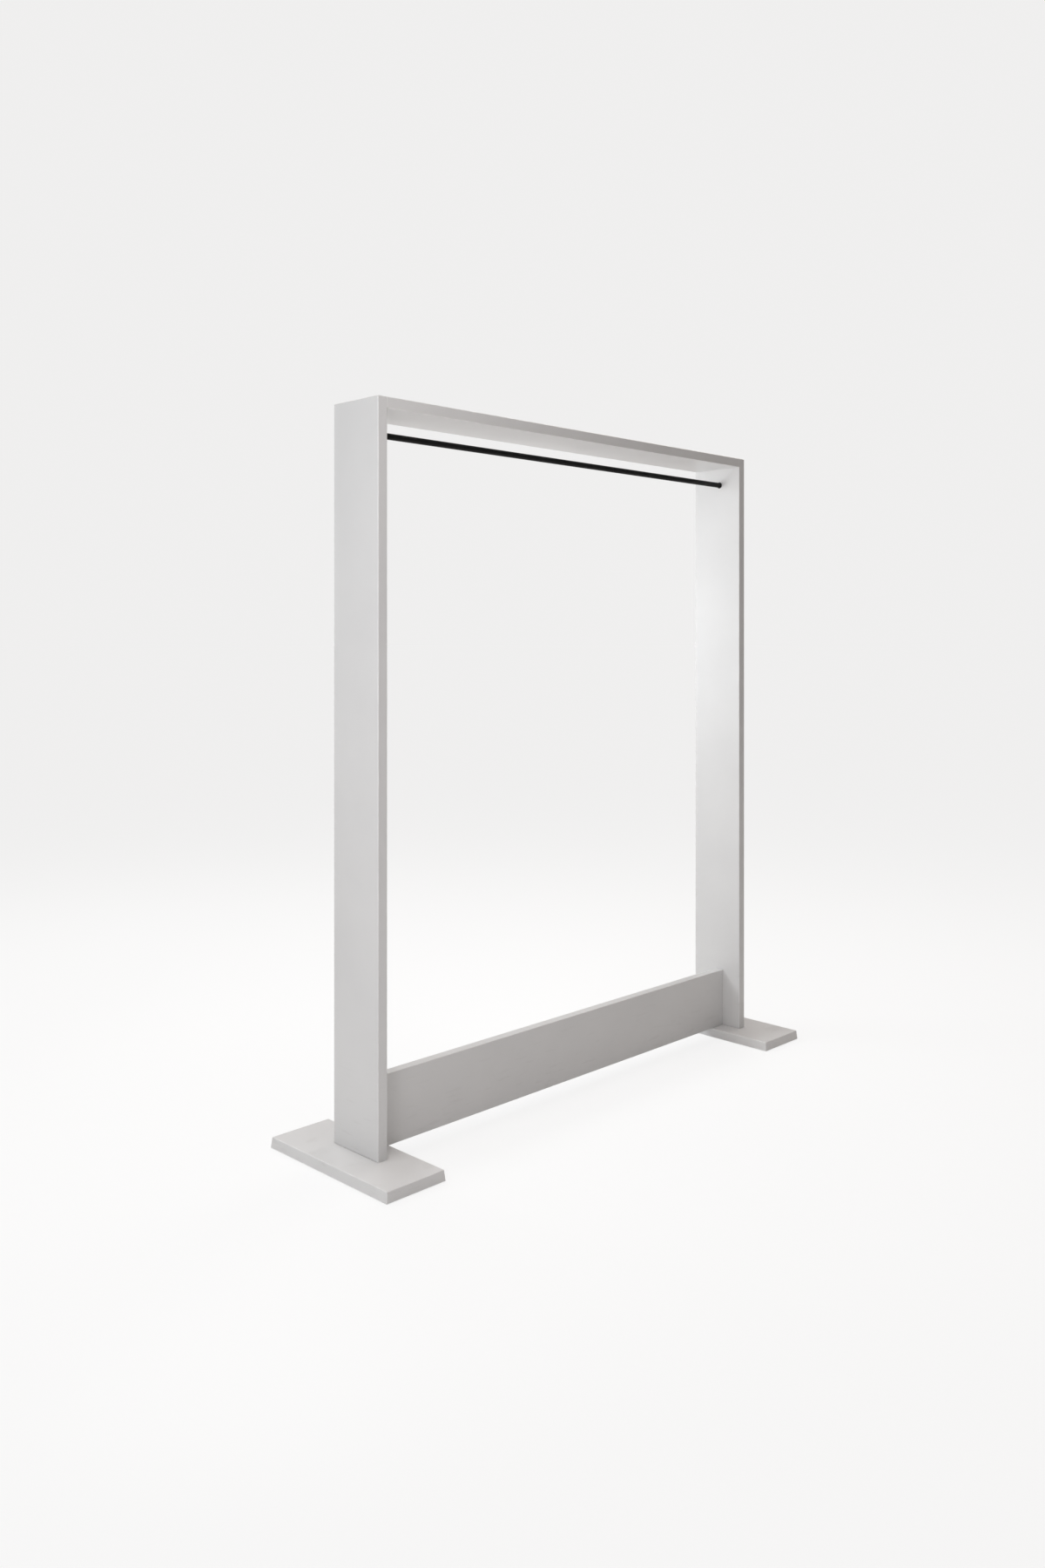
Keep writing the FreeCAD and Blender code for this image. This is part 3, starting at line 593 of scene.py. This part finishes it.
def glide_pad():
    """A felt disc on a thin tape, worn round where it meets the floor."""
    outline = [(0, 0), (0, PAD_RADIUS - 0.3), (PAD_TAPE, PAD_RADIUS - 0.3), (PAD_TAPE, PAD_RADIUS - 0.05),
               (0.9, PAD_RADIUS), (1.5, PAD_RADIUS - 0.12), (1.85, PAD_RADIUS - 0.5),
               (PAD_THICKNESS, PAD_RADIUS - 1.1), (PAD_THICKNESS, 0)]
    return spun(outline, DISC_STEPS)


def foot_fittings(metal, wood, felt):
    """The bolts, washers, sleeves, dowels and pads of both feet."""
    def spots(node, radius, count=BOLTS_PER_FOOT):
        low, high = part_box(node)
        return [aimed((x, y, low.z), UP) for x in ends(low.x, high.x, radius * MM)
                for y in ends(low.y, high.y, radius * MM, count)]

    def height(node):
        low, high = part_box(node)
        return (high.z - low.z) / MM

    bolt, sleeve = foot_bolt(height("foot_bolts")), threaded_sleeve(height("foot_bolt_sleeves"))
    zinc_pieces = [
        ("foot_cap_screws", "foot_bolts", FOOT_BOLT_HEAD, bolt),
        ("foot_plain_washers", "foot_bolt_washers", WASHER_RADIUS, washer()),
        ("foot_insert_nuts", "foot_bolt_sleeves", SLEEVE_RADIUS, sleeve),
    ]
    for name, node, radius, master in zinc_pieces:
        piece(name, copies(master, spots(node, radius)), node, metal)
    dowels = copies(fluted_dowel(height("foot_dowels")), spots("foot_dowels", DOWEL_RADIUS, 2))
    piece("foot_fluted_dowels", dowels, "foot_dowels", wood)
    for side in ("left", "right"):
        node = f"glide_pads_{side}"
        low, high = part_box(node)
        places = [aimed((x, y, high.z), DOWN) for x in ends(low.x, high.x, PAD_RADIUS * MM)
                  for y in ends(low.y, high.y, PAD_RADIUS * MM)]
        piece(f"felt_pads_{side}", copies(glide_pad(), places), node, felt)


# --- The frame's own boards -----------------------------------------------------------------------

FOOT_LEAN = 3.0 / 28.0       # how much the sides of a foot plate draw in for each unit of height


def recoat(node, material):
    """Give one of the frame's nodes a worked finish."""
    for holder in frame["nodes"][node].material_slots:
        holder.material = material


def boards():
    """The gate's boards and the feet, each lacquered to its own box."""
    for node in ("upright_left", "upright_right", "header_board", "lower_rail"):
        recoat(node, lacquer(f"lacquer_{node}", *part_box(node)))
    for node in ("foot_plate_left", "foot_plate_right"):
        recoat(node, lacquer(f"lacquer_{node}", *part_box(node), lean=FOOT_LEAN))


# --- Camera ---------------------------------------------------------------------------------------

# The camera stands off the front left corner, level, at chest height.
CAMERA_PLACE = Vector((-2.8197, -2.6750, 1.3663))
CAMERA_HEADING = math.radians(-45.92)
CAMERA_LENS = 29.07
CAMERA_SHIFT = (-0.0194, -0.0906)


def camera():
    data = bpy.data.cameras.new("camera")
    data.sensor_width = 36.0
    data.lens = CAMERA_LENS
    data.shift_x, data.shift_y = CAMERA_SHIFT
    stand = bpy.data.objects.new("camera", data)
    stand.location = CAMERA_PLACE
    stand.rotation_euler = (math.radians(90.0), 0.0, CAMERA_HEADING)
    bpy.context.scene.collection.objects.link(stand)
    bpy.context.scene.camera = stand


# --- Stage and light ------------------------------------------------------------------------------

FLOOR_SIZE = 800.0           # so wide that no edge shows
FLOOR_TONE = 0.92
STAGE_TONE = 1.0
STAGE_SHARE = 0.80           # how much of the plain stage tone the camera sees over the lit floor

# Softboxes: place, target, width and height in metres, spread in degrees, and watts in red, green, blue.
SOFTBOXES = {
    "left_wide_box": ((-3.0, 0.5, 2.2), (0.0, 0.0, 1.3), (3.0, 2.0), 180, (25.4, 26.7, 27.3)),
    "left_strip": ((-2.0, -1.0, 1.25), (-0.6, 0.0, 1.2), (0.5, 1.8), 120, (4.6, 4.5, 4.6)),
    "left_overhead_box": ((-1.0, -1.2, 2.9), (-0.8, 0.0, 0.6), (0.8, 0.8), 180, (8.1, 8.0, 8.0)),
    "right_overhead_box": ((1.7, 0.3, 3.2), (1.0, 0.0, 0.0), (1.5, 1.5), 180, (25.6, 24.4, 23.6)),
    "inner_high_box": ((-0.6, 1.6, 1.8), (0.77, 0.0, 1.5), (0.9, 0.9), 180, (9.2, 9.3, 9.4)),
    "inner_low_box": ((-0.3, 1.0, 1.3), (0.77, 0.0, 1.6), (0.7, 0.7), 180, (5.9, 6.1, 6.2)),
    "back_overhead_box": ((0.0, 2.8, 2.8), (0.0, 1.2, 0.0), (2.4, 1.4), 180, (28.8, 29.2, 29.5)),
}

# The ceiling's glow is two lobes about the zenith: the height's power, and red, green and blue.
CEILING_LOBES = ((3, (0.600, 0.541, 0.504)), (8, (0.672, 0.641, 0.621)))


def far_tone():
    """What the camera sees of the floor so far off that only the ceiling lights it."""
    lit = [sum(FLOOR_TONE * 2 / (power + 2) * lobe[channel] for power, lobe in CEILING_LOBES)
           for channel in range(3)]
    return rgb(*(STAGE_SHARE * STAGE_TONE + (1 - STAGE_SHARE) * part for part in lit))


def floor():
    """A plain pale floor; the camera sees it lifted towards the stage tone."""
    shape = bmesh.new()
    bmesh.ops.create_grid(shape, x_segments=1, y_segments=1, size=FLOOR_SIZE / 2)
    mesh = bpy.data.meshes.new("floor")
    shape.to_mesh(mesh)
    shape.free()
    plane = bpy.data.objects.new("floor", mesh)
    bpy.context.scene.collection.objects.link(plane)
    pale = rgb(FLOOR_TONE, FLOOR_TONE, FLOOR_TONE)
    material, tree, shader = finish("pale_floor", Base_Color=pale, Roughness=0.8, Specular_IOR_Level=0.0)
    seen = add(tree, "LightPath").outputs["Is Camera Ray"]
    tone = add(tree, "Emission", {"Color": rgb(STAGE_TONE, STAGE_TONE, STAGE_TONE)})
    lifted = add(tree, "MixShader", {0: calc(tree, "MULTIPLY", seen, STAGE_SHARE), 1: shader.outputs[0],
                                     2: tone.outputs[0]})
    tree.links.new(lifted.outputs[0], tree.nodes["Material Output"].inputs["Surface"])
    mesh.materials.append(material)


def softbox(name, place, target, size, spread, watts):
    """A rectangular lamp that lights the object but isn't seen itself."""
    data = bpy.data.lights.new(name, "AREA")
    data.shape = "RECTANGLE"
    data.size, data.size_y = size
    data.spread = math.radians(spread)
    data.energy = max(watts)
    data.color = [part / max(watts) for part in watts]
    lamp = bpy.data.objects.new(name, data)
    lamp.location = place
    lamp.rotation_euler = (Vector(target) - Vector(place)).to_track_quat("-Z", "Y").to_euler()
    lamp.visible_camera = False
    bpy.context.scene.collection.objects.link(lamp)


def ceiling():
    """Light that falls mostly from straight above; the camera sees the far floor's tone instead."""
    world = bpy.data.worlds.new("studio")
    world.use_nodes = True
    tree = world.node_tree
    upwards = add(tree, "SeparateXYZ", {0: add(tree, "TexCoord").outputs["Generated"]}).outputs["Z"]
    height = calc(tree, "MAXIMUM", upwards, 0.0)
    lobes = [add(tree, "Background", {"Color": rgb(*lobe), "Strength": calc(tree, "POWER", height, power)})
             for power, lobe in CEILING_LOBES]
    glow = add(tree, "AddShader", {number: lobe.outputs[0] for number, lobe in enumerate(lobes)})
    plain = add(tree, "Background", {"Color": far_tone()})
    seen = add(tree, "LightPath").outputs["Is Camera Ray"]
    both = add(tree, "MixShader", {0: seen, 1: glow.outputs[0], 2: plain.outputs[0]})
    tree.links.new(both.outputs[0], tree.nodes["World Output"].inputs["Surface"])
    bpy.context.scene.world = world


def light():
    ceiling()
    for name, settings in SOFTBOXES.items():
        softbox(name, *settings)
    bpy.context.scene.view_settings.view_transform = "Standard"


# --- The whole object -----------------------------------------------------------------------------

black_coat = powder_coat("black_powder_coat", middle_of("hanging_rod").z)
bright_zinc = zinc("bright_zinc")
long_beech = beech("beech_along_x", RIGHT)
tall_beech = beech("beech_along_z", UP)
cover_plastic = white_plastic("white_cover_plastic")

boards()
for cams in ("header_cams", "rail_cams"):
    recoat(cams, bright_zinc)
hanging_rod(black_coat)
rod_cup("left", LEFT, black_coat)
rod_cup("right", RIGHT, black_coat)
cup_screws(bright_zinc)
cross_board_fittings("header", "header_board", 1, DOWN, bright_zinc, long_beech, cover_plastic)
cross_board_fittings("rail", "lower_rail", 2, FRONT, bright_zinc, long_beech, cover_plastic)
foot_fittings(bright_zinc, tall_beech, glide_felt("grey_felt"))

camera()
floor()
light()
